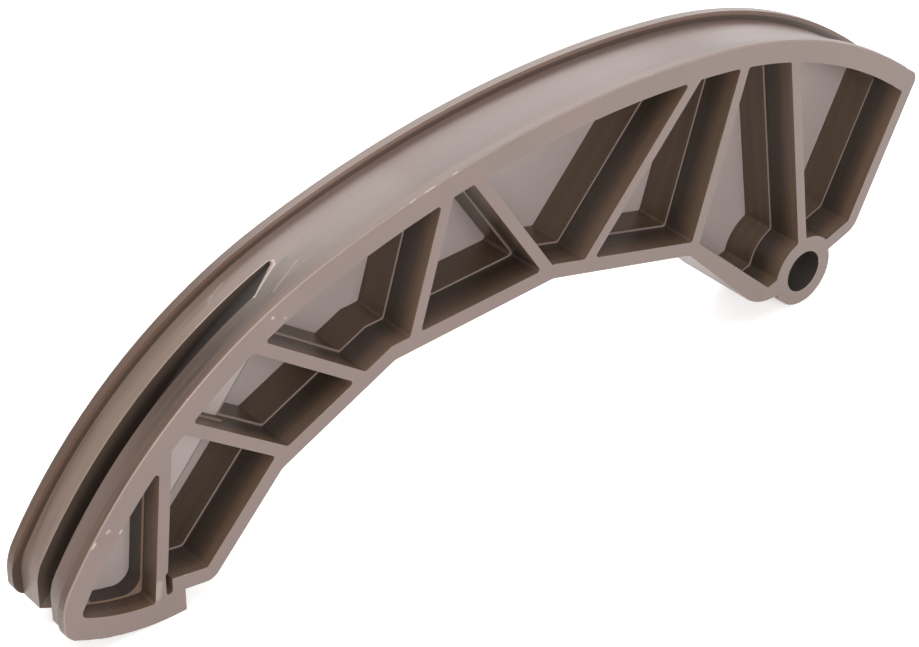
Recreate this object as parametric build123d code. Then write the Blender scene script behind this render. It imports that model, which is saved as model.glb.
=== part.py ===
from build123d import *
import math
import os

# One-piece moulded timing chain tensioner rail, in millimetres.
# The side view is drawn in x (along the rail) and z (up), with the centre of the pivot bore at 0, 0.
# Depth runs from the open ribbed face at 0 to the flat back.

# Running curve, at the crests of the guide flanges: three arcs, each tangent to the next
CROWN_X = -53.6
CROWN_Z = 60.4
CROWN_RADIUS = 219.0
FOOT_SIDE_RADIUS = 96.4
FOOT_SIDE_ANGLE = 18.05
TIP_SIDE_RADIUS = 110.0
TIP_SIDE_ANGLE = 6.9
END_SWEEP = 60.0

# Running band and the two guide flanges that keep the chain on it
RAIL_WIDTH = 17.5
GUIDE_THICKNESS = 1.8
GUIDE_HEIGHT = 1.8
BAND_THICKNESS = 4.5

# Relief slot in the running surface, open at the toe and tapering out near mid length
SLOT_WIDTH = 4.0
SLOT_DEPTH = 4.2
SLOT_FULL_X = -130.5
SLOT_TIP_X = -123.3
SLOT_TIP_RADIUS = 0.4
SLOT_RAMP_X = -150.0
SLOT_TIP_DEPTH = 0.3

# Pockets and ribs
POCKET_DEPTH = 14.3
LEDGE_DEPTH = 7.4
LEDGE_WIDTH = 0.42
RIB_THICKNESS = 2.3
CORNER_RADIUS = 0.6

# Shallow end pocket, and the raised pad that backs the slot beside it
END_POCKET_DEPTH = 7.5
END_LEDGE_DEPTH = 4.1
END_TOE_RADIUS = 1.2
END_CORNER_RADIUS = 3.0
SLOT_BACKING = 1.0
PAD_DEPTH = 5.7
PAD_X = -150.2
PAD_Z = 12.6
PAD_ANGLE = 49.5

# Foot, with a crowned sole for the tensioner plunger
TOE_HEIGHT = 6.626
TOE_RADIUS = 3.6
NOSE_RADIUS = 11.0
SOLE_RADIUS = 43.0
SOLE_CENTRE_X = -153.5
SOLE_THICKNESS = 4.3
HEEL_X = -151.7
HEEL_RADIUS = 0.5

# Narrow relief slit beside the foot rib
SLIT_WIDTH = 1.3
SLIT_DROP = 2.9

# Pivot boss and bore
BORE_RADIUS = 4.5
BOSS_RADIUS = 7.5
BOSS_SHOULDER = 0.35

# Lower flange, from the heel to the boss: corners of its outer side and the wall thickness at each
FLANGE_CORNERS = [
    (HEEL_X, -3.0, 3.1),
    (-145.9, -3.9, 3.05),
    (-130.8, 12.5, 3.2),
    (-106.0, 24.2, 3.25),
    (-69.2, 26.1, 3.0),
    (-33.8, 17.05, 2.85),
    (-13.4, -2.85, 4.4),
]
FLANGE_BEND_RADIUS = 3.0
LOBE_RADIUS = 11.0

# End wall, from the boss up to the tip of the running band
END_WALL_THICKNESS = 2.85
END_WALL_X = 14.25
END_WALL_Z = 4.9
END_WALL_ANGLE = 64.6
END_WALL_ROOT_Z = 0.15
END_WALL_BEND_RADIUS = 4.5
TIP_RADIUS = 2.4

# Ribs: where each one's middle line meets the wall it stands on, and its angle from the x axis
FOOT_RIB_X = -156.6
FOOT_RIB_Z = 0.5
FOOT_RIB_ANGLE = 84.8
BOSS_RIB_ANGLE = 99.8
FLANGE_RIB_X = [-130.7, -113.8, -101.5, -70.9, -60.3, -32.3]
FLANGE_RIB_ANGLE = [144.5, 144.5, 74.2, 124.4, 49.0, 74.2]

# Pockets over the pad, counted from the foot
PADDED_POCKETS = (1, 2)

# Cuts run past the faces they open by this much
CLEAR = 5.0


def direction(angle):
    """Unit vector at an angle in degrees from the x axis."""
    return Vector(math.cos(math.radians(angle)), math.sin(math.radians(angle)))


def crown_centre():
    """Centre of the running curve's middle arc."""
    return Vector(CROWN_X, CROWN_Z - CROWN_RADIUS)


def foot_side_centre():
    """Centre of the running curve's arc over the foot, tangent to the middle arc."""
    return crown_centre() + direction(90 + FOOT_SIDE_ANGLE) * (CROWN_RADIUS - FOOT_SIDE_RADIUS)


def tip_side_centre():
    """Centre of the running curve's arc over the tip, tangent to the middle arc."""
    return crown_centre() + direction(90 - TIP_SIDE_ANGLE) * (CROWN_RADIUS - TIP_SIDE_RADIUS)


def under_running_curve(drop):
    """Face between the running curve, moved down by a drop, and a level far below the rail."""
    floor = -CROWN_RADIUS
    foot_side = 90 + FOOT_SIDE_ANGLE
    tip_side = 90 - TIP_SIDE_ANGLE
    spans = [
        (foot_side_centre(), FOOT_SIDE_RADIUS - drop, foot_side + END_SWEEP, foot_side),
        (crown_centre(), CROWN_RADIUS - drop, foot_side, tip_side),
        (tip_side_centre(), TIP_SIDE_RADIUS - drop, tip_side, tip_side - END_SWEEP),
    ]
    edges = []
    for centre, radius, start, end in spans:
        first = centre + direction(start) * radius
        middle = centre + direction((start + end) / 2) * radius
        last = centre + direction(end) * radius
        edges.append(ThreePointArc(first, middle, last))
    left = edges[0] @ 0
    right = edges[-1] @ 1
    edges.append(Polyline(right, (right.X, floor), (left.X, floor), left))
    return make_face(edges)


def foot_side_point(x, drop):
    """Point on the running curve's arc over the foot, moved down by a drop."""
    centre = foot_side_centre()
    radius = FOOT_SIDE_RADIUS - drop
    return (x, centre.Y + math.sqrt(radius**2 - (x - centre.X) ** 2))


def inside_front(drop):
    """Side view of all that lies deeper than a drop inside the running curve and the upright foot face."""
    left = toe().X + drop
    right_side = Pos(left + CROWN_RADIUS, 0) * Rectangle(2 * CROWN_RADIUS, 4 * CROWN_RADIUS)
    face = under_running_curve(drop) & right_side
    return round_corners(face, [foot_side_point(left, drop)], NOSE_RADIUS - drop)


def inner_chain(corners):
    """Inner corners of a wall, from its outer corners and the wall thickness at each of them."""
    normals = []
    for start, end in zip(corners, corners[1:]):
        along = Vector(end[0] - start[0], end[1] - start[1]).normalized()
        normals.append(Vector(-along.Y, along.X))
    before = normals[:1] + normals
    after = normals + normals[-1:]
    inner = []
    for (x, z, thickness), first, second in zip(corners, before, after):
        mitre = (first + second) / (1 + first.dot(second))
        inner.append((x + mitre.X * thickness, z + mitre.Y * thickness))
    return inner


def height_on(chain, x):
    """Height of a chain of straight lines at a place along the rail."""
    for start, end in zip(chain, chain[1:]):
        if start[0] <= x <= end[0]:
            return start[1] + (end[1] - start[1]) * (x - start[0]) / (end[0] - start[0])
    return chain[-1][1]


def round_corners(face, spots, radius):
    """Face with its corners nearest to the spots rounded."""
    chosen = []
    for place in spots:
        spot = Vector(place[0], place[1])
        chosen.append(min(face.vertices(), key=lambda v: (Vector(v.X, v.Y) - spot).length))
    return fillet(chosen, radius)


def sole_centre_height():
    """The sole's lowest line is level with the underside of the boss."""
    return SOLE_RADIUS - BOSS_RADIUS


def sole_height(x, radius):
    """Height of the sole, or of a curve concentric with it, at a place along the rail."""
    return sole_centre_height() - math.sqrt(radius**2 - (x - SOLE_CENTRE_X) ** 2)


def toe():
    """Lower end of the foot's upright face, where the running curve is the toe's height above the sole."""
    lowered = foot_side_centre() - Vector(0, TOE_HEIGHT)
    between = Vector(SOLE_CENTRE_X, sole_centre_height()) - lowered
    gap = between.length
    along = (FOOT_SIDE_RADIUS**2 - SOLE_RADIUS**2 + gap**2) / (2 * gap)
    aside = math.sqrt(FOOT_SIDE_RADIUS**2 - along**2)
    unit = between.normalized()
    return lowered + unit * along + Vector(-unit.Y, unit.X) * aside


def end_wall_chain():
    """Corners of the outer side of the end wall, from its root under the boss to above the tip."""
    top = CROWN_Z + CLEAR
    rise = direction(END_WALL_ANGLE)
    reach = (top - END_WALL_Z) / rise.Y
    return [
        (0, END_WALL_ROOT_Z, END_WALL_THICKNESS),
        (END_WALL_X, END_WALL_Z, END_WALL_THICKNESS),
        (END_WALL_X + rise.X * reach, top, END_WALL_THICKNESS),
    ]


def places(corners):
    """Corners without their wall thickness."""
    return [(corner[0], corner[1]) for corner in corners]


def side_outline():
    """Side view of the whole rail, without the boss's round."""
    foot_end = toe()
    heel_z = sole_height(HEEL_X, SOLE_RADIUS)
    middle = (foot_end.X + HEEL_X) / 2
    middle_z = sole_height(middle, SOLE_RADIUS)
    sole = ThreePointArc(foot_end, (middle, middle_z), (HEEL_X, heel_z))
    flange = places(FLANGE_CORNERS)
    end_wall = places(end_wall_chain())
    top = end_wall[-1][1]
    lobe_z = flange[-1][1]
    rest = Polyline(
        (HEEL_X, heel_z), *flange, (0, lobe_z), *end_wall, (foot_end.X, top), foot_end
    )
    frame = make_face([sole, rest])
    return frame & under_running_curve(0)


def pocket_region():
    """Side view of everything inside the band, the sole, the lower flange and the end wall."""
    inner_radius = SOLE_RADIUS - SOLE_THICKNESS
    far_left = SOLE_CENTRE_X - inner_radius * math.sin(math.radians(END_SWEEP / 2))
    middle = (far_left + FOOT_RIB_X) / 2
    start = (far_left, sole_height(far_left, inner_radius))
    end = (FOOT_RIB_X, sole_height(FOOT_RIB_X, inner_radius))
    sole = ThreePointArc(start, (middle, sole_height(middle, inner_radius)), end)
    flange = flange_inner_chain()
    wall = inner_chain(end_wall_chain())
    top = wall[-1][1]
    rest = Polyline(end, *flange, *wall, (far_left, top), start)
    region = make_face([sole, rest]) & under_running_curve(BAND_THICKNESS)
    return region - Circle(BOSS_RADIUS + BOSS_SHOULDER)


def flange_inner_chain():
    """Inner side of the lower flange, with its first run drawn on to the foot rib."""
    chain = inner_chain(FLANGE_CORNERS)
    slope = (chain[1][1] - chain[0][1]) / (chain[1][0] - chain[0][0])
    start = (FOOT_RIB_X, chain[0][1] + slope * (FOOT_RIB_X - chain[0][0]))
    return [start] + chain[1:]


def rib(x, z, angle):
    """Side view of one straight rib, rooted in the wall that it stands on and run up past the band."""
    length = CROWN_Z + CLEAR
    base = Vector(x, z) - direction(angle) * RIB_THICKNESS
    centre = base + direction(angle) * length / 2
    return Pos(centre.X, centre.Y) * Rot(0, 0, angle) * Rectangle(length, RIB_THICKNESS)


def all_ribs():
    """Side view of the foot rib, the ribs that stand on the lower flange and the rib on the boss."""
    chain = flange_inner_chain()
    ribs = [rib(FOOT_RIB_X, FOOT_RIB_Z - SOLE_THICKNESS / 2, FOOT_RIB_ANGLE)]
    for x, angle in zip(FLANGE_RIB_X, FLANGE_RIB_ANGLE):
        ribs.append(rib(x, height_on(chain, x), angle))
    ribs.append(rib(0, 0, BOSS_RIB_ANGLE))
    return ribs


def pocket_faces():
    """Side views of the pockets between the ribs, from the foot to the tip, with sharp corners."""
    region = pocket_region()
    for one in all_ribs():
        region -= one
    return sorted(region.faces(), key=lambda face: face.center().X)


def cut_down(face, top, bottom):
    """Prism of a side view between two depths below the open face."""
    return extrude(Pos(0, 0, -top) * face, amount=-(bottom - top))


def body():
    """Full-width solid of the side view with the boss, its bends rounded."""
    outline = side_outline()
    foot_end = toe()
    outline = round_corners(outline, [(foot_end.X, foot_end.Y)], TOE_RADIUS)
    outline = round_corners(outline, [(foot_end.X, foot_end.Y + TOE_HEIGHT)], NOSE_RADIUS)
    outline = round_corners(outline, [(HEEL_X, sole_height(HEEL_X, SOLE_RADIUS))], HEEL_RADIUS)
    outline = round_corners(outline, places(FLANGE_CORNERS[1:-1]), FLANGE_BEND_RADIUS)
    outline = round_corners(outline, places(FLANGE_CORNERS[-1:]), LOBE_RADIUS)
    outline = round_corners(outline, [(END_WALL_X, END_WALL_Z)], END_WALL_BEND_RADIUS)
    outline = round_corners(outline, [tip_corner()], TIP_RADIUS)
    outline += Circle(BOSS_RADIUS)
    return cut_down(outline, 0, RAIL_WIDTH)


def tip_corner():
    """Corner where the running curve meets the outer side of the end wall."""
    tip = max(side_outline().vertices(), key=lambda v: v.X)
    return (tip.X, tip.Y)


def channel():
    """Space between the guide flanges, down to the running surface."""
    above = under_running_curve(-CLEAR) - inside_front(GUIDE_HEIGHT)
    return cut_down(above, GUIDE_THICKNESS, RAIL_WIDTH - GUIDE_THICKNESS)


def slot_rise():
    """Side view of the slope by which the slot's floor rises to its tip."""
    low = foot_side_point(SLOT_RAMP_X, GUIDE_HEIGHT + SLOT_DEPTH)
    high = foot_side_point(SLOT_TIP_X, GUIDE_HEIGHT + SLOT_TIP_DEPTH)
    middle_drop = GUIDE_HEIGHT + (SLOT_DEPTH + SLOT_TIP_DEPTH) / 2
    middle = foot_side_point((SLOT_RAMP_X + SLOT_TIP_X) / 2, middle_drop)
    return make_face([ThreePointArc(low, middle, high), Polyline(high, (high[0], low[1]), low)])


def slot():
    """Relief slot: full width from the toe, then narrowing from its near side to its far side."""
    near = (RAIL_WIDTH - SLOT_WIDTH) / 2
    far = near + SLOT_WIDTH
    above = under_running_curve(-CLEAR) - inside_front(GUIDE_HEIGHT + SLOT_DEPTH) - slot_rise()
    start = toe().X - CLEAR
    plan = make_face(
        Polyline((start, near), (SLOT_FULL_X, near), (SLOT_TIP_X, far), (start, far), close=True)
    )
    plan = round_corners(plan, [(SLOT_TIP_X, far)], SLOT_TIP_RADIUS)
    prism = extrude(Rot(-90, 0, 0) * plan, amount=2 * CROWN_Z, both=True)
    return cut_down(above, 0, RAIL_WIDTH) & prism


def moulded(face, inset, radius=CORNER_RADIUS):
    """Pocket's side view, drawn in from the ribs by an inset, with mould radii in its corners."""
    core = offset(face, amount=-inset - radius, kind=Kind.INTERSECTION)
    return offset(core, amount=radius, kind=Kind.ARC)


def web_pockets():
    """Every pocket, each stepped in at mid depth; the ones beside the slot are shallow there."""
    cuts = []
    for number, face in enumerate(pocket_faces()):
        if number == 0:
            cuts.extend(end_pocket(face))
        elif number in PADDED_POCKETS:
            cuts.extend(padded_pocket(face))
        else:
            cuts.append(cut_down(moulded(face, 0), 0, LEDGE_DEPTH))
            cuts.append(cut_down(moulded(face, LEDGE_WIDTH), 0, POCKET_DEPTH))
    return cuts


def end_pocket(face):
    """Shallow pocket over the foot, kept clear of the slot below its ledge."""
    below_slot = inside_front(GUIDE_HEIGHT + SLOT_DEPTH + SLOT_BACKING)
    toe_corner = min(face.vertices(), key=lambda v: v.X)
    rib_corner = min(face.vertices(), key=lambda v: v.Y)
    upper = round_corners(face, [(toe_corner.X, toe_corner.Y)], END_TOE_RADIUS)
    lower = round_corners(
        (face & below_slot).face(), [(rib_corner.X, rib_corner.Y)], END_CORNER_RADIUS + LEDGE_WIDTH
    )
    return [
        cut_down(moulded(upper, 0), 0, END_LEDGE_DEPTH),
        cut_down(moulded(lower, LEDGE_WIDTH), 0, END_POCKET_DEPTH),
    ]


def pad_face():
    """Side view of the region beside the band where a raised pad backs the slot."""
    along = direction(PAD_ANGLE)
    reach = CROWN_Z * 2
    low = (PAD_X - along.X * reach, PAD_Z - along.Y * reach)
    high = (PAD_X + along.X * reach, PAD_Z + along.Y * reach)
    return make_face(Polyline(low, high, (low[0], high[1]), close=True))


def padded_pocket(face):
    """Pocket that is deep beside the lower flange and shallow over the pad."""
    pad = pad_face()
    full = moulded(face, 0)
    stepped = moulded(face, LEDGE_WIDTH)
    return [
        cut_down(full, 0, END_LEDGE_DEPTH),
        cut_down(stepped, 0, PAD_DEPTH),
        cut_down(full - pad, 0, LEDGE_DEPTH),
        cut_down(stepped - pad, 0, POCKET_DEPTH),
    ]


def slit():
    """Narrow slit that runs down beside the foot rib from the bottom of the next pocket."""
    foot = FOOT_RIB_Z - SLIT_DROP
    lean = math.tan(math.radians(90 - FOOT_RIB_ANGLE))
    side = FOOT_RIB_X - SLIT_DROP / 2 * lean + RIB_THICKNESS / 2
    top = FOOT_RIB_Z + CORNER_RADIUS + SLIT_WIDTH
    centre = Pos(side + SLIT_WIDTH / 2, (foot + top) / 2)
    return cut_down(centre * SlotOverall(top - foot, SLIT_WIDTH, rotation=90), 0, LEDGE_DEPTH)


def bore():
    """Pivot bore, through the boss."""
    return cut_down(Circle(BORE_RADIUS), -CLEAR, RAIL_WIDTH + CLEAR)


def tensioner_rail():
    """The whole moulding, stood up so that its side view faces the viewer."""
    rail = body() - channel() - slot() - slit() - bore()
    for cut in web_pockets():
        rail -= cut
    return Rot(90, 0, 0) * rail


os.makedirs("parts", exist_ok=True)
part = tensioner_rail()
export_step(part, "parts/tensioner_rail.step")
print("solids", len(part.solids()), "volume", round(part.volume), "box", part.bounding_box())
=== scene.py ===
"""Look of a one-piece moulded timing chain tensioner rail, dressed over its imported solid.

The open side looks along -Y, the pivot bore runs along Y through the origin, and the running face
is up. The rail's and the nylon's sizes are in millimetres. The studio's and the camera's are in
metres.
"""

import logging
import math
from dataclasses import dataclass
from enum import Enum
from typing import Any, Dict, List, Optional, Sequence, Tuple, Union

import bmesh
import bpy
import numpy as np
from mathutils import Matrix, Vector


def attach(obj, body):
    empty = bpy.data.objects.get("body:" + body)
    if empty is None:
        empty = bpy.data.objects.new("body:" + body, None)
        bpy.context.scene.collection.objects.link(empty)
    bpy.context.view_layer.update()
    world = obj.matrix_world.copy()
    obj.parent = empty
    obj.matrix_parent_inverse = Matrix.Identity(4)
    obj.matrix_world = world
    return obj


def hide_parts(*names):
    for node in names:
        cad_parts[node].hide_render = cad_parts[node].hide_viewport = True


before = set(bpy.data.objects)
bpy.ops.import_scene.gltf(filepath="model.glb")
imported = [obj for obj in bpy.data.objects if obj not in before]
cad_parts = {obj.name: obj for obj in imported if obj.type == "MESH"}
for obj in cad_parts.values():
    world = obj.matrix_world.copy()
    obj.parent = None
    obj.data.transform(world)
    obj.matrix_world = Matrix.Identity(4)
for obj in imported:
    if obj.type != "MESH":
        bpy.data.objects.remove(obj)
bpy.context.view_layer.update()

LOG = logging.getLogger("tensioner_rail")

Number = Union[int, float]
Span = Tuple[float, float]
Triple = Tuple[float, float, float]

MM = 0.001
MM_PER_METRE = 1000.0
NOISE_MIDDLE = 0.5
WHITE = (1.0, 1.0, 1.0, 1.0)

# The least squared length of a mark, in square millimetres, so that a dot divides by no zero.
DOT_SQUARED = 1e-6

# A Mix node's sockets for colours go by number, as its kinds share their names.
MIX_SHARE, MIX_FIRST, MIX_SECOND, MIX_RESULT = 0, 6, 7, 2


class Region(Enum):
    """Parts of the moulding whose surface differs, by the name of the face mask that marks them."""

    RUNNING = "running"
    CREST = "guide_crest"
    GUIDE_INSIDE = "guide_inside"
    RECESS = "deep_recess"
    FLOOR = "pocket_floor"
    WALL = "pocket_wall"
    OPEN_FACE = "open_face"
    EDGE = "edge"


class Measure(Enum):
    """Values that the mesh carries at its vertices: two distances in metres and a share of wear."""

    ALONG = "along"
    DROP = "drop"
    WORN = "worn"


@dataclass(frozen=True)
class Grain:
    """One noise pattern: cells per metre, number of finer layers and how strong they are."""

    scale: float
    layers: float = 2.0
    strength: float = 0.5


class Shade:
    """One output socket of a shader node, on which arithmetic adds the Math nodes it needs."""

    def __init__(self, bench: "NodeBench", socket: bpy.types.NodeSocket) -> None:
        """Wraps a socket.

        Args:
            bench: The node tree's bench, which makes new nodes.
            socket: The output that this value stands for.
        """
        self.bench = bench
        self.socket = socket

    def _math(self, operation: str, first: Any, second: Any) -> "Shade":
        """One Math node.

        Args:
            operation: The Math node's operation.
            first: Its first value or socket.
            second: Its second value or socket.

        Returns:
            The node's value.
        """
        return self.bench.node("ShaderNodeMath", {"operation": operation}, {0: first, 1: second})

    def __add__(self, other: Any) -> "Shade":
        """Sum of two values."""
        return self._math("ADD", self, other)

    def __radd__(self, other: Any) -> "Shade":
        """Sum, with the number first."""
        return self._math("ADD", other, self)

    def __sub__(self, other: Any) -> "Shade":
        """Difference of two values."""
        return self._math("SUBTRACT", self, other)

    def __rsub__(self, other: Any) -> "Shade":
        """Difference, with the number first."""
        return self._math("SUBTRACT", other, self)

    def __mul__(self, other: Any) -> "Shade":
        """Product of two values."""
        return self._math("MULTIPLY", self, other)

    def __rmul__(self, other: Any) -> "Shade":
        """Product, with the number first."""
        return self._math("MULTIPLY", other, self)

    def __truediv__(self, other: Any) -> "Shade":
        """Quotient of two values."""
        return self._math("DIVIDE", self, other)

    def __rtruediv__(self, other: Any) -> "Shade":
        """Quotient, with the number first."""
        return self._math("DIVIDE", other, self)

    def __pow__(self, other: Any) -> "Shade":
        """This value raised to an exponent."""
        return self._math("POWER", self, other)

    def __rpow__(self, other: Any) -> "Shade":
        """Power, with the number first."""
        return self._math("POWER", other, self)

    def between(self, low: Number, high: Number) -> "Shade":
        """Smooth step from 0 at the low value to 1 at the high one.

        Args:
            low: Where the step starts.
            high: Where it ends.

        Returns:
            The step's value, from 0 to 1.
        """
        settings = {"interpolation_type": "SMOOTHSTEP"}
        return self.bench.node("ShaderNodeMapRange", settings, {0: self, 1: low, 2: high})

    def clamped(self) -> "Shade":
        """This value kept between 0 and 1."""
        return self.bench.node("ShaderNodeClamp", None, {0: self})


class NodeBench:
    """Makes the nodes of one material or world."""

    def __init__(self, tree: bpy.types.NodeTree) -> None:
        """Empties the tree that the nodes go into.

        Args:
            tree: The node tree.
        """
        self.tree = tree
        tree.nodes.clear()

    def node(
        self,
        kind: str,
        settings: Optional[Dict[str, Any]] = None,
        inputs: Optional[Dict[Union[int, str], Any]] = None,
        output: Union[int, str] = 0,
    ) -> Shade:
        """One node, with its settings made before its inputs.

        Args:
            kind: The node's type.
            settings: Its properties by name.
            inputs: Values, colours or Shade values by socket name or number.
            output: Which output is wanted.

        Returns:
            The wanted output.
        """
        made = self.tree.nodes.new(kind)
        for name, value in (settings or {}).items():
            setattr(made, name, value)
        for key, value in (inputs or {}).items():
            if isinstance(value, Shade):
                self.tree.links.new(value.socket, made.inputs[key])
            else:
                made.inputs[key].default_value = value
        return Shade(self, made.outputs[output])

    def finish(self, kind: str, surface: Shade) -> None:
        """Joins a shader to the tree's output.

        Args:
            kind: The output node's type.
            surface: The shader.
        """
        made = self.tree.nodes.new(kind)
        self.tree.links.new(surface.socket, made.inputs["Surface"])

    def mix(self, first: Any, second: Any, share: Any, blend: str = "MIX") -> Shade:
        """Mix of two colours.

        Args:
            first: Colour where the share is 0.
            second: Colour where the share is 1.
            share: How much of the second colour there is.
            blend: The Mix node's blend type.

        Returns:
            The mixed colour.
        """
        settings = {"data_type": "RGBA", "blend_type": blend}
        values = {MIX_SHARE: share, MIX_FIRST: opaque(first), MIX_SECOND: opaque(second)}
        return self.node("ShaderNodeMix", settings, values, MIX_RESULT)

    def noise(self, place: Shade, grain: Grain) -> Shade:
        """Value of a noise pattern, from 0 to 1.

        Args:
            place: Where the pattern is read, in metres.
            grain: The pattern.

        Returns:
            The noise value.
        """
        values = {
            "Vector": place,
            "Scale": grain.scale,
            "Detail": grain.layers,
            "Roughness": grain.strength,
        }
        return self.node("ShaderNodeTexNoise", {"noise_dimensions": "3D"}, values)

    def stretched(self, place: Shade, scale: Triple) -> Shade:
        """A place with each of its axes scaled.

        Args:
            place: The place.
            scale: Factors along X, Y and Z.

        Returns:
            The scaled place.
        """
        return self.node("ShaderNodeMapping", None, {"Vector": place, "Scale": scale})

    def object_place(self) -> Shade:
        """The point's place on the object, in metres."""
        return self.node("ShaderNodeTexCoord", None, None, "Object")

    def axis(self, place: Shade, name: str) -> Shade:
        """One coordinate of a place.

        Args:
            place: The place.
            name: The axis, X, Y or Z.

        Returns:
            The coordinate, in the place's own unit.
        """
        return self.node("ShaderNodeSeparateXYZ", None, {0: place}, name)

    def carried(self, value: Union[Region, Measure]) -> Shade:
        """A value that the mesh carries.

        Args:
            value: The region's mask or the measure.

        Returns:
            Its value.
        """
        return self.node("ShaderNodeAttribute", {"attribute_name": value.value}, None, "Fac")


def opaque(colour: Any) -> Any:
    """A colour with its alpha, or a Shade as it is."""
    return colour if isinstance(colour, Shade) else (*colour, 1.0)


@dataclass(frozen=True)
class Stroke:
    """A short mark with soft sides between two places on a surface, in millimetres."""

    start: Span
    end: Span
    half_width: float
    softness: float
    strength: float

    def mask(self, first: Shade, second: Shade) -> Shade:
        """How much of the mark there is at a point.

        The point is dropped onto the line between the two ends, kept between them, and the mark
        fades with the distance that is left.

        Args:
            first: The point's first coordinate.
            second: Its second coordinate.

        Returns:
            The mark's strength there.
        """
        run = self.end[0] - self.start[0]
        rise = self.end[1] - self.start[1]
        out = first - self.start[0]
        up = second - self.start[1]
        share = ((out * run + up * rise) / max(run * run + rise * rise, DOT_SQUARED)).clamped()
        out = out - share * run
        up = up - share * rise
        gap = (out * out + up * up) ** 0.5
        return (1.0 - gap.between(self.half_width, self.half_width + self.softness)) * self.strength


def strokes_mask(strokes: Sequence[Stroke], first: Shade, second: Shade) -> Shade:
    """Sum of several marks' strengths at a point.

    Args:
        strokes: The marks.
        first: The point's first coordinate.
        second: Its second coordinate.

    Returns:
        The sum, which can pass 1 where marks cross.
    """
    masks = [stroke.mask(first, second) for stroke in strokes]
    return sum(masks[1:], masks[0])


class NylonPoint:
    """The point being shaded: where it lies on the rail, in millimetres, and on which region."""

    def __init__(self, bench: NodeBench) -> None:
        """Adds the nodes that read the point.

        Args:
            bench: The material's bench.
        """
        self.bench = bench
        self.place = bench.object_place()
        self.length = bench.axis(self.place, "X") * MM_PER_METRE
        self.depth = bench.axis(self.place, "Y") * MM_PER_METRE
        self.height = bench.axis(self.place, "Z") * MM_PER_METRE
        self.along = bench.carried(Measure.ALONG) * MM_PER_METRE
        self.drop = bench.carried(Measure.DROP) * MM_PER_METRE
        self.worn = bench.carried(Measure.WORN)
        self.masks = {region: bench.carried(region) for region in Region}

    def on(self, region: Region) -> Shade:
        """How much the point belongs to a region, from 0 to 1."""
        return self.masks[region]


@dataclass(frozen=True)
class Patterns:
    """The noise patterns that several of the nylon's inputs share, each from 0 to 1."""

    mottle: Shade
    fibres: Shade
    streaks: Shade
    draw_marks: Shade


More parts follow.
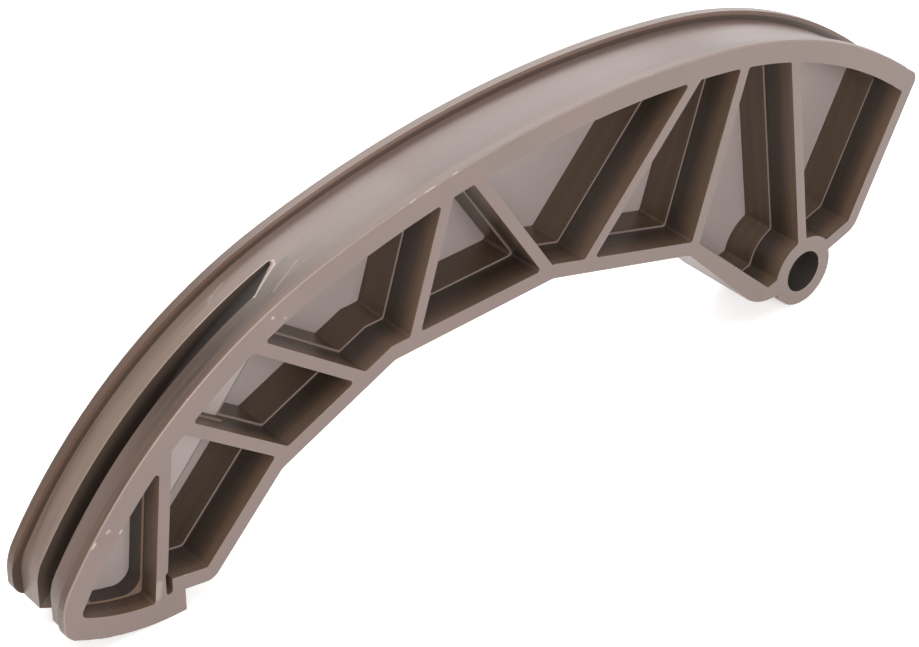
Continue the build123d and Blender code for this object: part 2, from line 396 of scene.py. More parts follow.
@dataclass(frozen=True)
class MouldedNylon:
    """Semi-gloss brown glass-filled nylon, as it leaves the mould, with a chain-worn running face.
    Its colours carry painted shade in the pockets, the slot and the bore, and painted highlights.

    Spans are where a change starts and ends. Shares, tones and roughnesses are plain factors.
    """

    ledge_depth: float
    name: str = "moulded_nylon"
    refractive_index: float = 1.52

    side_colour: Triple = (0.16, 0.104, 0.074)
    # Pocket walls in painted light and shade: the rim, the darkest band over the ledge, and below it.
    rim_colour: Triple = (0.215, 0.135, 0.09)
    painted_shade_colour: Triple = (0.043, 0.03, 0.022)
    deep_colour: Triple = (0.1, 0.067, 0.043)
    face_colour: Triple = (0.188, 0.137, 0.119)
    floor_colour: Triple = (0.285, 0.235, 0.222)
    running_colour: Triple = (0.21, 0.14, 0.12)
    near_strip_colour: Triple = (0.07, 0.032, 0.016)
    near_toe_colour: Triple = (0.23, 0.152, 0.122)
    far_strip_colour: Triple = (0.31, 0.218, 0.175)
    # Olive of the worn strips' streaks, also used for the painted shade beside the slot's tip.
    olive_colour: Triple = (0.105, 0.085, 0.058)
    crest_colour: Triple = (0.21, 0.142, 0.113)
    worn_crest_colour: Triple = (0.12, 0.067, 0.044)
    # Painted shade that fills the slot and the bore.
    painted_recess_shade_colour: Triple = (0.034, 0.026, 0.021)
    # Paler colour of the rounded edges: a painted highlight.
    edge_highlight_colour: Triple = (0.27, 0.2, 0.17)
    # Pale nicks, also used for painted highlights and sheen.
    nick_and_highlight_colour: Triple = (0.58, 0.48, 0.43)

    wall_shade_start: float = -2.0
    wall_shade_lead: float = 1.6
    ledge_blend: float = 0.1
    toe_span: Span = (-125.0, -95.0)
    strip_span: Span = (7.5, 10.0)
    olive_span: Span = (0.42, 0.62)
    olive_share: float = 0.45
    guide_shade_span: Span = (0.6, 1.0)
    guide_shade_share: float = 0.7
    nick_span: Span = (0.66, 0.72)

    mottle: Grain = Grain(55.0, 4.0, 0.6)
    fibres: Grain = Grain(1500.0, 2.0, 0.7)
    bumps: Grain = Grain(1500.0, 3.0, 0.6)
    streaks: Grain = Grain(620.0, 3.0, 0.65)
    streak_stretch: float = 0.045
    draw_marks: Grain = Grain(620.0, 2.0, 0.6)
    draw_mark_stretch: Triple = (0.04, 1.0, 0.04)
    nicks: Grain = Grain(330.0)

    plain_tone: float = 0.86
    mottle_tone: float = 0.2
    fibre_tone: float = 0.08
    streak_tone: float = 0.35
    worn_streak_tone: float = 1.35
    # The draw marks' share of the wall colour paints streaks of reflection along them.
    draw_mark_sheen_tone: float = 0.7

    roughness: float = 0.36
    floor_roughness: float = 0.46
    running_roughness: float = 0.33
    recess_roughness: float = 0.62
    mottle_roughness: float = 0.12
    streak_roughness: float = 0.2

    relief_height: float = 0.02
    relief_strength: float = 0.35
    bump_relief: float = 0.5
    streak_relief: float = 0.6

    # Marks on the running face, by distance along the rail and depth from the open side. The
    # bright ones are painted highlights along the slot's rim round its tip and along its far edge,
    # then pale nicks and streaks, and last a broad painted sheen past the slot's end. The dark
    # ones are painted shade in the dip beside the slot's tip.
    highlight_and_nick_marks: Tuple[Stroke, ...] = (
        Stroke((-79.8, 6.62), (-72.9, 9.3), 0.08, 0.3, 0.75),
        Stroke((-72.9, 9.3), (-72.45, 10.1), 0.08, 0.28, 0.6),
        Stroke((-72.45, 10.1), (-73.3, 10.85), 0.05, 0.25, 0.6),
        Stroke((-73.3, 10.85), (-90.0, 10.9), 0.03, 0.22, 0.5),
        Stroke((-90.0, 10.9), (-138.0, 10.9), 0.02, 0.2, 0.3),
        Stroke((-70.0, 6.6), (-77.0, 4.5), 0.03, 0.4, 0.22),
        Stroke((-49.6, 0.15), (-48.7, 0.15), 0.1, 0.3, 0.4),
        Stroke((-46.2, 0.15), (-44.4, 0.15), 0.12, 0.3, 0.5),
        Stroke((-39.9, 0.15), (-39.2, 0.15), 0.12, 0.3, 0.45),
        Stroke((-85.1, 13.1), (-84.2, 13.4), 0.1, 0.5, 0.3),
        Stroke((-84.2, 13.4), (-81.2, 14.0), 0.05, 0.45, 0.2),
        Stroke((-68.0, 8.75), (-52.0, 8.75), 3.0, 7.0, 0.13),
    )
    dip_shade_marks: Tuple[Stroke, ...] = (
        Stroke((-70.9, 8.6), (-73.8, 7.5), 0.2, 0.7, 0.8),
        Stroke((-73.6, 7.6), (-78.4, 5.8), 0.1, 0.7, 0.5),
        Stroke((-66.0, 6.2), (-70.0, 5.0), 0.2, 1.6, 0.2),
    )

    # A painted shade line along the raised pads' edge, and pale nicks on the open face, by length
    # and height; the last is a painted highlight at the foot of the first rib.
    pad_edge_shade_line: Stroke = Stroke((-150.35, 12.73), (-132.05, 34.13), 0.1, 0.22, 0.7)
    face_nicks_and_glint: Tuple[Stroke, ...] = (
        Stroke((-166.2, 16.3), (-165.7, 16.5), 0.05, 0.35, 0.5),
        Stroke((-163.6, 15.1), (-163.4, 15.3), 0.1, 0.35, 0.75),
        Stroke((-169.2, 14.7), (-168.6, 15.2), 0.08, 0.4, 0.65),
        Stroke((-131.9, 43.7), (-131.8, 43.7), 0.08, 0.35, 0.6),
        Stroke((-129.4, 42.7), (-129.3, 42.7), 0.05, 0.35, 0.35),
        Stroke((-151.6, 0.4), (-151.0, 0.6), 0.15, 0.6, 0.35),
        Stroke((-157.0, 0.6), (-157.4, -1.8), 0.3, 0.9, 0.22),
    )

    def make(self) -> bpy.types.Material:
        """Builds the material.

        Returns:
            The finished material.
        """
        material = bpy.data.materials.new(self.name)
        material.use_nodes = True
        bench = NodeBench(material.node_tree)
        point = NylonPoint(bench)
        patterns = self._patterns(point)
        colour = self._marked(point, self._region_colour(point, patterns))
        inputs = {
            "Base Color": bench.mix(colour, self._tone(point, patterns), 1.0, "MULTIPLY"),
            "Roughness": self._roughness(point, patterns),
            "IOR": self.refractive_index,
            "Normal": self._relief(point, patterns),
        }
        shader = bench.node("ShaderNodeBsdfPrincipled", None, inputs)
        bench.finish("ShaderNodeOutputMaterial", shader)
        return material

    def _patterns(self, point: NylonPoint) -> Patterns:
        """Mottle and glass fibres all over, chain streaks along the rail and the draw marks.

        The streaks are read from the distance along the rail, much shortened, and the distance
        across it. The draw marks run along the pocket walls, as the mould's polished cores leave
        them; where they pale and darken the walls' colour, they paint streaks of reflection.

        Args:
            point: The point being shaded.

        Returns:
            The patterns.
        """
        bench = point.bench
        short = bench.carried(Measure.ALONG) * self.streak_stretch
        spot = bench.node("ShaderNodeCombineXYZ", None, {0: short, 1: bench.axis(point.place, "Y")})
        drawn = bench.stretched(point.place, self.draw_mark_stretch)
        return Patterns(
            mottle=bench.noise(point.place, self.mottle),
            fibres=bench.noise(point.place, self.fibres),
            streaks=bench.noise(spot, self.streaks),
            draw_marks=bench.noise(drawn, self.draw_marks),
        )

    def _region_colour(self, point: NylonPoint, patterns: Patterns) -> Shade:
        """Colour by region, before marks and tone.

        The far guide's inside takes painted shade towards its root beside the slot, the slot and the
        bore are filled with painted shade, and the rounded edges get a paler painted highlight.

        Args:
            point: The point being shaded.
            patterns: The noise patterns.

        Returns:
            The colour.
        """
        bench = point.bench
        colour = bench.mix(self.side_colour, self._wall_colour(point), point.on(Region.WALL))
        colour = bench.mix(colour, self.face_colour, point.on(Region.OPEN_FACE))
        colour = bench.mix(colour, self.floor_colour, point.on(Region.FLOOR))
        colour = bench.mix(colour, self._running_colour(point, patterns), point.on(Region.RUNNING))
        guide = bench.mix(self.crest_colour, self.worn_crest_colour, point.worn)
        inside = point.on(Region.GUIDE_INSIDE)
        colour = bench.mix(colour, guide, point.on(Region.CREST))
        colour = bench.mix(colour, guide, inside)
        # Painted shade: the far guide's inside towards its root, the slot and the bore.
        root = point.drop.between(*self.guide_shade_span) * self.guide_shade_share
        shade_in_recesses = (point.on(Region.RECESS) + inside * root).clamped()
        colour = bench.mix(colour, self.painted_recess_shade_colour, shade_in_recesses)
        # Rounded edges in their paler colour, a painted highlight.
        return bench.mix(colour, self.edge_highlight_colour, point.on(Region.EDGE))

    def _wall_colour(self, point: NylonPoint) -> Shade:
        """Colour of a pocket's wall, paler at the rim, darkest over the ledge and even below it.

        The gradient is painted light and shade.

        Args:
            point: The point being shaded.

        Returns:
            The colour.
        """
        bench = point.bench
        ledge = self.ledge_depth
        shade = point.depth.between(self.wall_shade_start, ledge - self.wall_shade_lead)
        below = point.depth.between(ledge - self.ledge_blend, ledge + self.ledge_blend)
        upper = bench.mix(self.rim_colour, self.painted_shade_colour, shade)
        return bench.mix(upper, self.deep_colour, below)

    def _running_colour(self, point: NylonPoint, patterns: Patterns) -> Shade:
        """Colour of the running face, plain at mid length and in two worn strips beside the slot.

        Args:
            point: The point being shaded.
            patterns: The noise patterns.

        Returns:
            The colour.
        """
        bench = point.bench
        past_toe = point.along.between(*self.toe_span)
        strips = bench.mix(self.near_toe_colour, self.near_strip_colour, past_toe)
        strips = bench.mix(strips, self.far_strip_colour, point.depth.between(*self.strip_span))
        olive = patterns.streaks.between(*self.olive_span) * self.olive_share
        strips = bench.mix(strips, self.olive_colour, olive)
        return bench.mix(self.running_colour, strips, point.worn)

    def _marked(self, point: NylonPoint, colour: Shade) -> Shade:
        """A colour with painted shade, painted highlights and sheen, and pale nicks laid over it.

        Args:
            point: The point being shaded.
            colour: The colour under the marks.

        Returns:
            The marked colour.
        """
        bench = point.bench
        running = point.on(Region.RUNNING)
        edge = point.on(Region.EDGE)
        # Painted shade in the dip beside the slot's tip.
        dark = strokes_mask(self.dip_shade_marks, point.along, point.depth).clamped() * running
        colour = bench.mix(colour, self.olive_colour, dark)
        # A painted shade line along the raised pads' edge.
        line = self.pad_edge_shade_line.mask(point.length, point.height) * point.on(Region.FLOOR)
        colour = bench.mix(colour, self.painted_shade_colour, line)
        nicks = bench.noise(point.place, self.nicks).between(*self.nick_span) * edge
        # Painted highlights and sheen on the running face, with pale nicks.
        bright = strokes_mask(self.highlight_and_nick_marks, point.along, point.depth) * (running + edge)
        # Pale nicks on the open face, and a painted highlight at the foot of the first rib.
        dents_and_glint = strokes_mask(self.face_nicks_and_glint, point.length, point.height)
        pale = nicks + bright + dents_and_glint * point.on(Region.OPEN_FACE)
        return bench.mix(colour, self.nick_and_highlight_colour, pale.clamped())

    def _tone(self, point: NylonPoint, patterns: Patterns) -> Shade:
        """Grey that the colour is multiplied by: mottle and fibres, chain streaks and draw marks, the
        last partly painted reflection.

        Args:
            point: The point being shaded.
            patterns: The noise patterns.

        Returns:
            The grey.
        """
        chain_face = point.on(Region.RUNNING) + point.on(Region.CREST)
        streak_share = self.streak_tone + point.worn * self.worn_streak_tone
        streaks = (patterns.streaks - NOISE_MIDDLE) * chain_face * streak_share
        drawn = (patterns.draw_marks - NOISE_MIDDLE) * point.on(Region.WALL)
        tone = self.plain_tone + patterns.mottle * self.mottle_tone
        tone = tone + patterns.fibres * self.fibre_tone
        tone = tone * (1.0 + streaks) * (1.0 + drawn * self.draw_mark_sheen_tone)
        return point.bench.node("ShaderNodeCombineColor", None, {0: tone, 1: tone, 2: tone})

    def _roughness(self, point: NylonPoint, patterns: Patterns) -> Shade:
        """Roughness by region, unsettled a little by the mottle and by the chain streaks.

        Args:
            point: The point being shaded.
            patterns: The noise patterns.

        Returns:
            The roughness.
        """
        running = point.on(Region.RUNNING)
        rough = self.roughness + point.on(Region.FLOOR) * (self.floor_roughness - self.roughness)
        rough = rough + running * (self.running_roughness - self.roughness)
        rough = rough + point.on(Region.RECESS) * (self.recess_roughness - self.roughness)
        rough = rough + (patterns.mottle - NOISE_MIDDLE) * self.mottle_roughness
        return rough + (patterns.streaks - NOISE_MIDDLE) * running * self.streak_roughness

    def _relief(self, point: NylonPoint, patterns: Patterns) -> Shade:
        """Mould grain everywhere, draw marks on pocket walls, chain streaks on the running face.

        Args:
            point: The point being shaded.
            patterns: The noise patterns.

        Returns:
            The bumped normal.
        """
        bench = point.bench
        height = bench.noise(point.place, self.bumps) * self.bump_relief
        height = height + patterns.draw_marks * point.on(Region.WALL)
        height = height + patterns.streaks * point.on(Region.RUNNING) * self.streak_relief
        values = {
            "Height": height,
            "Strength": self.relief_strength,
            "Distance": self.relief_height * MM,
        }
        return bench.node("ShaderNodeBump", None, values)


@dataclass(frozen=True)
class RunningCurve:
    """The curve of the guides' crests in the side view: three arcs, each tangent to the next.

    The radii go from the foot over the crown to the tip. The turns are how far, in degrees, the
    middle arc reaches from the crown towards the foot and towards the tip.
    """

    crown_x: float = -53.6
    crown_z: float = 60.4
    radii: Triple = (96.4, 219.0, 110.0)
    turns: Span = (18.05, 6.9)

    def centres(self) -> np.ndarray:
        """Centres of the three arcs.

        A side arc's centre lies on the line from the middle centre through the point where the two
        arcs meet, at a distance of the difference of their radii.

        Returns:
            Three rows of x and z in millimetres.
        """
        foot, crown, tip = self.radii
        middle = np.array([self.crown_x, self.crown_z - crown])
        angles = np.radians([90.0 + self.turns[0], 90.0 - self.turns[1]])
        unit = np.stack([np.cos(angles), np.sin(angles)], axis=1)
        foot_centre = middle + unit[0] * (crown - foot)
        tip_centre = middle + unit[1] * (crown - tip)
        return np.array([foot_centre, middle, tip_centre])

    def measure(self, place: np.ndarray) -> Tuple[np.ndarray, np.ndarray, np.ndarray]:
        """Distance along the curve from its crown, distance below it, and its outward normal.

        Each place belongs to the arc whose span of angles holds it. The distance along is the turn
        from that arc's start times its radius, added to the arcs before it; the drop is the radius
        less the distance from the arc's centre.

        Args:
            place: Rows of x, y and z in millimetres.

        Returns:
            The distance along and the drop, in millimetres, and rows of the normal's x, y and z.
        """
        offset = place[:, None, [0, 2]] - self.centres()[None]
        turn = np.arctan2(offset[..., 0], offset[..., 1])
        reach = np.hypot(offset[..., 0], offset[..., 1])
        foot_turn, tip_turn = np.radians([-self.turns[0], self.turns[1]])
        arc = np.where(turn[:, 1] < foot_turn, 0, np.where(turn[:, 1] > tip_turn, 2, 1))
        rows = np.arange(len(place))
        radius = np.array(self.radii)
        start = np.array([foot_turn, 0.0, tip_turn])
        base = np.array([radius[1] * foot_turn, 0.0, radius[1] * tip_turn])
        along = base[arc] + (turn[rows, arc] - start[arc]) * radius[arc]
        out = offset[rows, arc] / reach[rows, arc][:, None]
        normal = np.column_stack([out[:, 0], np.zeros(len(place)), out[:, 1]])
        return along, radius[arc] - reach[rows, arc], normal


@dataclass(frozen=True)
class FaceFacts:
    """What the regions are told apart by, with one row for each face of the mesh.

    Attributes:
        x: Where the face's middle lies along X, in millimetres.
        z: Where it lies along Z.
        depth: Its distance from the open side.
        drop: Its distance below the running curve.
        deepest: How deep its deepest corner lies.
        forward: How much the face looks towards the foot's end, from -1 to 1.
        to_open_side: How much it looks out of the open side, from -1 to 1.
        outward: How much it looks away from the running curve's centres, from -1 to 1.
        rounded: Whether the rounding of the edges made it.
    """

    x: np.ndarray
    z: np.ndarray
    depth: np.ndarray
    drop: np.ndarray
    deepest: np.ndarray
    forward: np.ndarray
    to_open_side: np.ndarray
    outward: np.ndarray
    rounded: np.ndarray


def read_rows(rows: Any, name: str, width: int = 1, kind: type = float) -> np.ndarray:
    """One property of all of a mesh's vertices, edges, corners or faces.

    Args:
        rows: The vertices, edges, corners or faces.
        name: The property's name.
        width: How many numbers it has in each row.
        kind: The numbers' type.

    Returns:
        The values, as a table where a row has more than one.
    """
    values = np.empty(len(rows) * width, kind)
    rows.foreach_get(name, values)
    return values.reshape(-1, width) if width > 1 else values


def write_layer(mesh: bpy.types.Mesh, name: str, domain: str, values: np.ndarray) -> None:
    """Gives a mesh one number for each of its vertices, edges or faces.

    Args:
        mesh: The mesh.
        name: The attribute's name.
        domain: POINT, EDGE or FACE.
        values: The numbers.
    """
    layer = mesh.attributes.new(name, "FLOAT", domain)
    layer.data.foreach_set("value", values.astype(np.float32))


def unit_rows(rows: np.ndarray) -> np.ndarray:
    """Rows scaled to a length of 1."""
    return rows / np.linalg.norm(rows, axis=1)[:, None]


def clear_materials(mesh: bpy.types.Mesh) -> None:
    """Empties a mesh's material slots and gives all of its faces to the first."""
    mesh.materials.clear()
    mesh.polygons.foreach_set("material_index", np.zeros(len(mesh.polygons), np.int32))


@dataclass
class TensionerRail:
    """The one moulding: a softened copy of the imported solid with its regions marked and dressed."""

    node: str = "tensioner_rail"
    piece: str = "rail_moulding"
    curve: RunningCurve = RunningCurve()
    width: float = 17.5
    guide_thickness: float = 1.8
    guide_height: float = 1.8
    floor_depths: Tuple[float, ...] = (14.3, 7.5, 5.7)
    ledge_depth: float = 7.4
    end_ledge_depth: float = 4.1
    slot_sides: Span = (6.75, 10.75)
    slot_floor_drop: float = 6.0
    front_x: float = -166.0
    bore_radius: float = 4.5

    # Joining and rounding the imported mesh.
    merge_distance: float = 0.001
    flat_angle: float = 0.05
    edge_angle: float = 50.0
    outer_radius: float = 0.22
    inner_share: float = 0.45
    edge_steps: int = 3
    most_sides: int = 4
    rounded_material: int = 1

    # How far a face, an edge or a corner may lie from where its region is, in millimetres.
    depth_slack: float = 0.05
    crest_slack: float = 0.05
    slot_side_slack: float = 0.02
    slot_drop_slack: Span = (0.1, 0.2)
    bore_slack: float = 0.1
    curve_slack: float = 0.4
    arc_slack: float = 0.06
    pocket_slack: float = 0.1
    pocket_start: float = 1.0

    # How much or how little of a face's normal points one way, and a corner's tilt in degrees.
    open_look: float = 0.9
    forward_look: float = 0.3
    slot_side_look: float = 0.8
    slot_floor_look: float = 0.6
    running_side_look: float = 0.5
    crest_look: float = 0.7
    wall_side_look: float = 0.2
    arc_tilt: float = 12.0

    # Shares of the painted shade that the slot's walls and floor get.
    slot_wall_share: float = 0.6
    slot_floor_share: float = 1.0
    worn_from: float = -62.0
    worn_to: float = -84.0

    def build(self) -> bpy.types.Object:
        """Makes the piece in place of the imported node.

        Returns:
            The finished object.
        """
        mesh = self._softened(self._merged())
        piece = bpy.data.objects.new(self.piece, mesh)
        bpy.context.scene.collection.objects.link(piece)
        facts = self._face_facts(mesh)
        self._mark_regions(mesh, facts)
        self._measure_vertices(mesh)
        self._set_normals(mesh, facts.rounded)
        clear_materials(mesh)
        mesh.materials.append(MouldedNylon(ledge_depth=self.ledge_depth).make())
        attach(piece, "root")
        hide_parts(self.node)
        return piece

    def _along_and_drop(self, mesh: bpy.types.Mesh) -> Tuple[np.ndarray, np.ndarray, np.ndarray]:
        """Each vertex's distance along the running curve, drop below it and the curve's normal."""
        return self.curve.measure(read_rows(mesh.vertices, "co", 3) / MM)

    def _merged(self) -> bpy.types.Mesh:
        """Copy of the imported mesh, its loose triangles joined and its flat faces divided afresh.

        Returns:
            The joined mesh.
        """
        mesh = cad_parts[self.node].data.copy()
        mesh.name = self.piece
        shape = bmesh.new()
        shape.from_mesh(mesh)
        bmesh.ops.remove_doubles(shape, verts=shape.verts, dist=self.merge_distance * MM)
        bmesh.ops.dissolve_limit(
            shape,
            angle_limit=math.radians(self.flat_angle),
            verts=shape.verts,
            edges=shape.edges,
            delimit={"NORMAL"},
        )
        many_sided = [face for face in shape.faces if len(face.verts) > self.most_sides]
        bmesh.ops.triangulate(shape, faces=many_sided, quad_method="BEAUTY", ngon_method="BEAUTY")
        shape.to_mesh(mesh)
        shape.free()
        clear_materials(mesh)
        mesh.shade_smooth()
        mesh.set_sharp_from_angle(angle=math.radians(self.edge_angle))
        self._weigh_edges(mesh)
        return mesh

    def _weigh_edges(self, mesh: bpy.types.Mesh) -> None:
        """Sets how much each sharp edge is rounded.

        Sharp edges that hang together form one chain, whose vertices all come to carry the lowest
        vertex number among them. The chain that holds the guides' crests is the outside of the rail
        and gets the full radius; the chains in the pockets and round the bore get a share of it.

        Args:
            mesh: The joined mesh, with its sharp edges marked.
        """
        ends = read_rows(mesh.edges, "vertices", 2, np.int32)
        sharp = read_rows(mesh.attributes["sharp_edge"].data, "value", 1, bool)
        _, drop, _ = self._along_and_drop(mesh)
        label = np.arange(len(mesh.vertices))
        linked = ends[sharp]
        moved = True
        while moved:
            lowest = label[linked].min(axis=1)
            before = label.copy()
            np.minimum.at(label, linked[:, 0], lowest)
            np.minimum.at(label, linked[:, 1], lowest)
            label = label[label]
            moved = bool((label != before).any())
        crest = (np.abs(drop[linked]) < self.crest_slack).all(axis=1)
        outside = np.isin(label[ends[:, 0]], np.unique(label[linked[crest, 0]]))
        weight = np.where(sharp, np.where(outside, 1.0, self.inner_share), 0.0)
        write_layer(mesh, "bevel_weight_edge", "EDGE", weight)

    def _softened(self, mesh: bpy.types.Mesh) -> bpy.types.Mesh:
        """Mesh with its sharp edges rounded, and the rounds on a material slot of their own.

        Args:
            mesh: The joined mesh.

        Returns:
            The rounded mesh.
        """
        for name in ("body_of_rail", "round_of_rail"):
            mesh.materials.append(bpy.data.materials.new(name))
        carrier = bpy.data.objects.new("rail_blank", mesh)
        bpy.context.scene.collection.objects.link(carrier)
        bevel = carrier.modifiers.new("edges", "BEVEL")
        bevel.width = self.outer_radius * MM
        bevel.segments = self.edge_steps
        bevel.limit_method = "WEIGHT"
        bevel.use_clamp_overlap = False
        bevel.material = self.rounded_material
        bpy.context.view_layer.update()
        graph = bpy.context.evaluated_depsgraph_get()
        done = bpy.data.meshes.new_from_object(carrier.evaluated_get(graph))
        bpy.data.objects.remove(carrier)
        return done

    def _face_facts(self, mesh: bpy.types.Mesh) -> FaceFacts:
        """Works out what the regions are told apart by.

        Args:
            mesh: The rounded mesh.

        Returns:
            The facts, one row for each face.
        """
        centre = read_rows(mesh.polygons, "center", 3) / MM
        normal = read_rows(mesh.polygons, "normal", 3)
        corner = read_rows(mesh.loops, "vertex_index", 1, np.int32)
        first = read_rows(mesh.polygons, "loop_start", 1, np.int32)
        depth = (read_rows(mesh.vertices, "co", 3) / MM)[corner, 1]
        material = read_rows(mesh.polygons, "material_index", 1, np.int32)
        _, drop, out = self.curve.measure(centre)
        return FaceFacts(
            x=centre[:, 0],
            z=centre[:, 2],
            depth=centre[:, 1],
            drop=drop,
            deepest=np.maximum.reduceat(depth, first),
            forward=-normal[:, 0],
            to_open_side=-normal[:, 1],
            outward=(normal * out).sum(axis=1),
            rounded=material == self.rounded_material,
        )

    def _mark_regions(self, mesh: bpy.types.Mesh, facts: FaceFacts) -> None:
        """Writes a mask for each region into the mesh.

        A face is on the running surface where it lies the guide height below the curve between the
        guides, or on the foot's end between them. It is on a crest where it lies on the curve over
        a guide, and on the guide's inside where it looks out of the open side at the far guide's
        depth. It is in a deep recess in the slot and in the bore. It is a pocket floor where it
        looks out of the open side at a floor's depth, and the open face where it looks that way and
        isn't a ledge. It is a pocket wall where it stands square to the open side, below the
        running surface, and goes no deeper than the deepest floor. It is an edge where the rounding
        made it.

        Args:
            mesh: The mesh to mark.
            facts: What is known of its faces.
        """
        plain = ~facts.rounded
        side_look = np.abs(facts.to_open_side)
        front = (facts.x < self.front_x) & (facts.forward > self.forward_look)
        slot = self._in_slot(facts, front)
        bore = np.hypot(facts.x, facts.z) < self.bore_radius + self.bore_slack
        slot_floor = facts.outward > self.slot_floor_look
        # How much painted shade the slot's walls and floor get in the material.
        slot_share = np.where(slot_floor, self.slot_floor_share, self.slot_wall_share)

        guide = self.guide_thickness
        between = (facts.depth > guide) & (facts.depth < self.width - guide)
        lane_floor = np.abs(facts.drop - self.guide_height) < self.curve_slack
        lane = between & ~slot & (side_look < self.running_side_look) & (front | lane_floor)
        on_curve = np.abs(facts.drop) < self.curve_slack
        crest = ~between & on_curve & (facts.outward > self.crest_look)

        opens = (facts.to_open_side > self.open_look) & plain
        inside = np.abs(facts.depth - self.width + guide) < self.depth_slack
        floor_gap = np.abs(facts.depth[:, None] - np.array(self.floor_depths)).min(axis=1)
        floor = opens & (floor_gap < self.depth_slack) & ~slot
        end_ledge = np.abs(facts.depth - self.end_ledge_depth) <= self.depth_slack
        shallow = (facts.depth < self.ledge_depth + self.depth_slack) & ~end_ledge
        in_pocket = facts.deepest < self.floor_depths[0] + self.pocket_slack
        below_lane = facts.drop > self.guide_height + self.pocket_start
        upright = side_look < self.wall_side_look

        masks = {
            Region.RUNNING: lane & plain,
            Region.CREST: crest & plain,
            Region.GUIDE_INSIDE: opens & inside,
            # The slot and the bore, which the material fills with painted shade.
            Region.RECESS: np.maximum(bore, slot * slot_share) * plain,
            Region.FLOOR: floor,
            Region.WALL: upright & in_pocket & below_lane & plain & ~slot,
            Region.OPEN_FACE: opens & ~floor & ~slot & shallow,
            Region.EDGE: facts.rounded,
        }
        for region, mask in masks.items():
            write_layer(mesh, region.value, "FACE", mask)

    def _in_slot(self, facts: FaceFacts, front: np.ndarray) -> np.ndarray:
        """Faces of the relief slot: its walls, its floor and its open end on the foot.

        Args:
            facts: What is known of the faces.
            front: True for each face on the foot's end.

        Returns:
            True for each face in the slot.
        """
        near, far = self.slot_sides
        slack = self.slot_side_slack
        top = self.guide_height + self.slot_drop_slack[0]
        bottom = self.slot_floor_drop + self.slot_drop_slack[1]
        across = (facts.depth > near - slack) & (facts.depth < far + slack)
        sunk = (facts.drop > top) & (facts.drop < bottom)
        wall = np.abs(facts.to_open_side) > self.slot_side_look
        floor = facts.outward > self.slot_floor_look
        return across & (front | (sunk & (wall | floor)))

    def _measure_vertices(self, mesh: bpy.types.Mesh) -> None:
        """Writes each vertex's distance along the rail, drop and share of wear into the mesh.

        The wear is 0 at mid length and grows evenly to 1 beside the slot, between two distances.

        Args:
            mesh: The mesh to measure.
        """
        along, drop, _ = self._along_and_drop(mesh)
        worn = np.clip((along - self.worn_from) / (self.worn_to - self.worn_from), 0.0, 1.0)
        measures = {Measure.ALONG: along * MM, Measure.DROP: drop * MM, Measure.WORN: worn}
        for measure, values in measures.items():
            write_layer(mesh, measure.value, "POINT", values)

    def _set_normals(self, mesh: bpy.types.Mesh, rounded: np.ndarray) -> None:
        """Shades flat faces flat, rounded edges round and the two chain curves by their true arcs.

        A face corner takes the sum, weighted by area, of the normals of the faces round its vertex
        that look nearly the same way. Faces that rounding made count only where no other face does.
        A corner on the running surface or on a guide's crest takes the arc's own normal.

        Args:
            mesh: The rounded mesh.
            rounded: True for each face that rounding made.
        """
        corners = len(mesh.loops)
        vertex = read_rows(mesh.loops, "vertex_index", 1, np.int32)
        sides = read_rows(mesh.polygons, "loop_total", 1, np.int32)
        normal = read_rows(mesh.polygons, "normal", 3)
        area = read_rows(mesh.polygons, "area")
        owner = np.repeat(np.arange(len(mesh.polygons)), sides)
        order = np.argsort(vertex, kind="stable")
        first = np.searchsorted(vertex[order], vertex)
        around = np.bincount(vertex)[vertex]
        plain_sum = np.zeros((corners, 3))
        round_sum = np.zeros((corners, 3))
        limit = math.cos(math.radians(self.edge_angle))
        for step in range(int(around.max())):
            other = owner[order[np.minimum(first + step, corners - 1)]]
            alike = (normal[owner] * normal[other]).sum(axis=1) > limit
            share = np.where((step < around) & alike, area[other], 0.0)
            plain_sum += (share * ~rounded[other])[:, None] * normal[other]
            round_sum += (share * rounded[other])[:, None] * normal[other]
        chosen = np.linalg.norm(plain_sum, axis=1) > 0.0
        looks = unit_rows(np.where(chosen[:, None], plain_sum, round_sum))
        _, drop, arc = self._along_and_drop(mesh)
        on_arc = np.minimum(np.abs(drop), np.abs(drop - self.guide_height)) < self.arc_slack
        straight = (looks * arc[vertex]).sum(axis=1) > math.cos(math.radians(self.arc_tilt))
        true = on_arc[vertex] & straight
        looks[true] = arc[vertex][true]
        mesh.normals_split_custom_set(looks.tolist())


@dataclass(frozen=True)
class SoftLamp:
    """One rectangular white studio lamp that looks at the rail."""

    name: str
    place: Triple
    width: float
    height: float
    watts: float
    target: Triple = (-0.07, 0.01, 0.025)

    def build(self) -> bpy.types.Object:
        """Makes the lamp.

        Returns:
            The lamp's object.
        """
        light = bpy.data.lights.new(self.name, "AREA")
        light.shape = "RECTANGLE"
        light.size = self.width
        light.size_y = self.height
        light.energy = self.watts
        lamp = bpy.data.objects.new(self.name, light)
        bpy.context.scene.collection.objects.link(lamp)
        away = Vector(self.place) - Vector(self.target)
        lamp.location = self.place
        lamp.rotation_euler = away.to_track_quat("Z", "Y").to_euler()
        return lamp


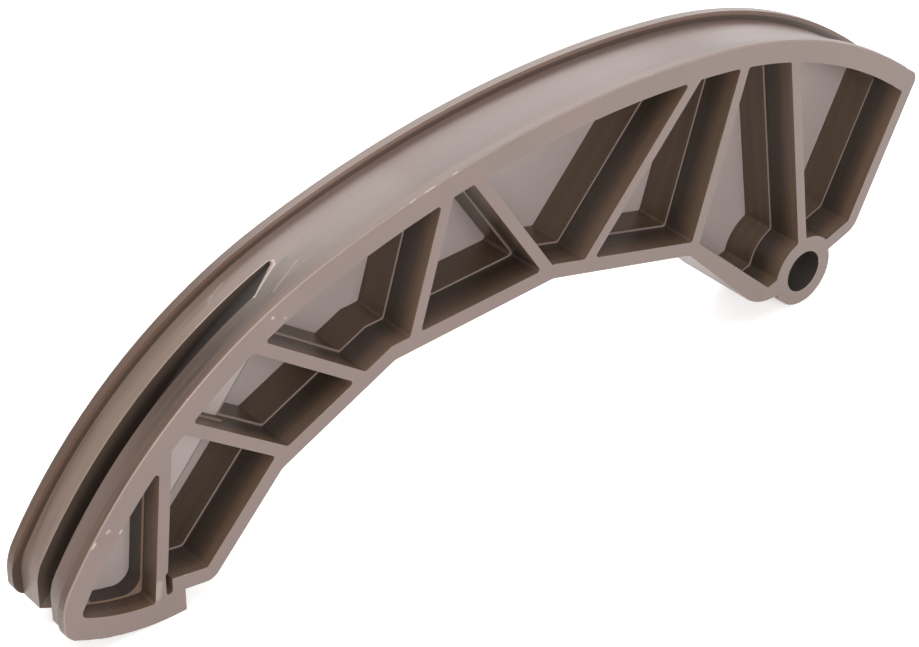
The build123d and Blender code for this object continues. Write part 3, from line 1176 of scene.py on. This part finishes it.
@dataclass
class WhiteStudio:
    """Pale floor, even surroundings and soft lamps."""

    floor_half: float = 2.5
    floor_z: float = -0.0075
    floor_colour: Triple = (0.88, 0.88, 0.88)
    floor_light_colour: Triple = (0.9, 0.9, 0.9)
    floor_grain: Grain = Grain(40.0)
    paper_glow: float = 0.55
    ambient: float = 0.28
    lamps: Sequence[SoftLamp] = (
        SoftLamp("back_softbox", (0.22, 0.8, 0.72), 1.15, 0.75, 7.2),
        SoftLamp("side_softbox", (0.85, 0.74, 0.22), 0.4, 0.3, 0.7),
        SoftLamp("front_softbox", (-0.25, -1.0, 0.28), 0.8, 0.6, 10.8),
        SoftLamp("top_softbox", (-0.45, -0.1, 0.9), 0.7, 0.7, 3.0),
    )

    def build(self) -> List[bpy.types.Object]:
        """Makes the floor, the surroundings and the lamps.

        Returns:
            The floor and the lamps.
        """
        scene = bpy.context.scene
        scene.view_settings.view_transform = "Standard"
        self._surroundings(scene)
        return [self._floor(scene)] + [lamp.build() for lamp in self.lamps]

    def _seen(self, bench: NodeBench) -> Shade:
        """1 where the camera sees a surface, itself, in a reflection or through glass.

        Args:
            bench: The bench of the material or world.

        Returns:
            The mask.
        """
        camera = bench.node("ShaderNodeLightPath", None, None, "Is Camera Ray")
        mirror = bench.node("ShaderNodeLightPath", None, None, "Is Glossy Ray")
        through = bench.node("ShaderNodeLightPath", None, None, "Is Transmission Ray")
        return (camera + mirror + through).between(0.0, 1.0)

    def _surroundings(self, scene: bpy.types.Scene) -> None:
        """World that is white where it is seen and a plain level of light elsewhere.

        Args:
            scene: The scene that gets the world.
        """
        world = bpy.data.worlds.new("studio")
        world.use_nodes = True
        scene.world = world
        bench = NodeBench(world.node_tree)
        level = self.ambient + self._seen(bench) * (1.0 - self.ambient)
        glow = bench.node("ShaderNodeBackground", None, {"Color": WHITE, "Strength": level})
        bench.finish("ShaderNodeOutputWorld", glow)

    def _floor(self, scene: bpy.types.Scene) -> bpy.types.Object:
        """White paper that the rail stands on, with a faint glow where it is seen.

        Args:
            scene: The scene that gets the floor.

        Returns:
            The floor.
        """
        half = self.floor_half
        corners = np.array([(-half, -half), (half, -half), (half, half), (-half, half)])
        points = np.column_stack([corners, np.full(4, self.floor_z)])
        mesh = bpy.data.meshes.new("paper")
        mesh.from_pydata(points.tolist(), [], [(0, 1, 2, 3)])
        floor = bpy.data.objects.new("paper", mesh)
        scene.collection.objects.link(floor)
        material = bpy.data.materials.new("white_paper")
        material.use_nodes = True
        bench = NodeBench(material.node_tree)
        grain = bench.noise(bench.object_place(), self.floor_grain)
        tint = bench.mix(self.floor_colour, self.floor_light_colour, grain)
        paper = bench.node("ShaderNodeBsdfDiffuse", None, {"Color": tint})
        strength = self._seen(bench) * self.paper_glow
        glow = bench.node("ShaderNodeEmission", None, {"Strength": strength})
        both = bench.node("ShaderNodeAddShader", None, {0: paper, 1: glow})
        bench.finish("ShaderNodeOutputMaterial", both)
        mesh.materials.append(material)
        return floor


@dataclass(frozen=True)
class ProductCamera:
    """Camera at the photograph's viewing angle, in degrees, with its lens in millimetres."""

    azimuth: float = -40.954
    elevation: float = 33.600
    roll: float = -1.0432
    place: Triple = (-0.332436, -0.277601, 0.269950)
    lens: float = 98.2528
    sensor: float = 36.0
    clip: Span = (0.01, 20.0)

    def build(self) -> bpy.types.Object:
        """Makes the camera and gives it to the scene.

        The camera's back axis comes from the azimuth and the elevation. Its level right axis and
        its up axis are then turned round it by the roll.

        Returns:
            The camera.
        """
        data = bpy.data.cameras.new("product_camera")
        data.lens = self.lens
        data.sensor_fit = "HORIZONTAL"
        data.sensor_width = self.sensor
        data.clip_start, data.clip_end = self.clip
        camera = bpy.data.objects.new("product_camera", data)
        bpy.context.scene.collection.objects.link(camera)
        turn, rise, roll = np.radians([self.azimuth, self.elevation, self.roll])
        flat = math.cos(rise)
        back = Vector((math.sin(turn) * flat, -math.cos(turn) * flat, math.sin(rise)))
        level = Vector((0.0, 0.0, 1.0)).cross(back).normalized()
        upright = back.cross(level)
        right = level * math.cos(roll) - upright * math.sin(roll)
        up = back.cross(right)
        axes = Matrix((right, up, back)).transposed().to_4x4()
        camera.matrix_world = Matrix.Translation(self.place) @ axes
        bpy.context.scene.camera = camera
        return camera


def main() -> None:
    """Builds the camera, the studio and the rail, in that order."""
    logging.basicConfig(level=logging.INFO, format="%(name)s: %(message)s")
    camera = ProductCamera().build()
    LOG.info("camera %s at %s", camera.name, tuple(round(v, 4) for v in camera.location))
    for thing in WhiteStudio().build():
        LOG.info("studio %s", thing.name)
    rail = TensionerRail().build()
    LOG.info("piece %s with %d faces", rail.name, len(rail.data.polygons))


if __name__ == "__main__":
    main()
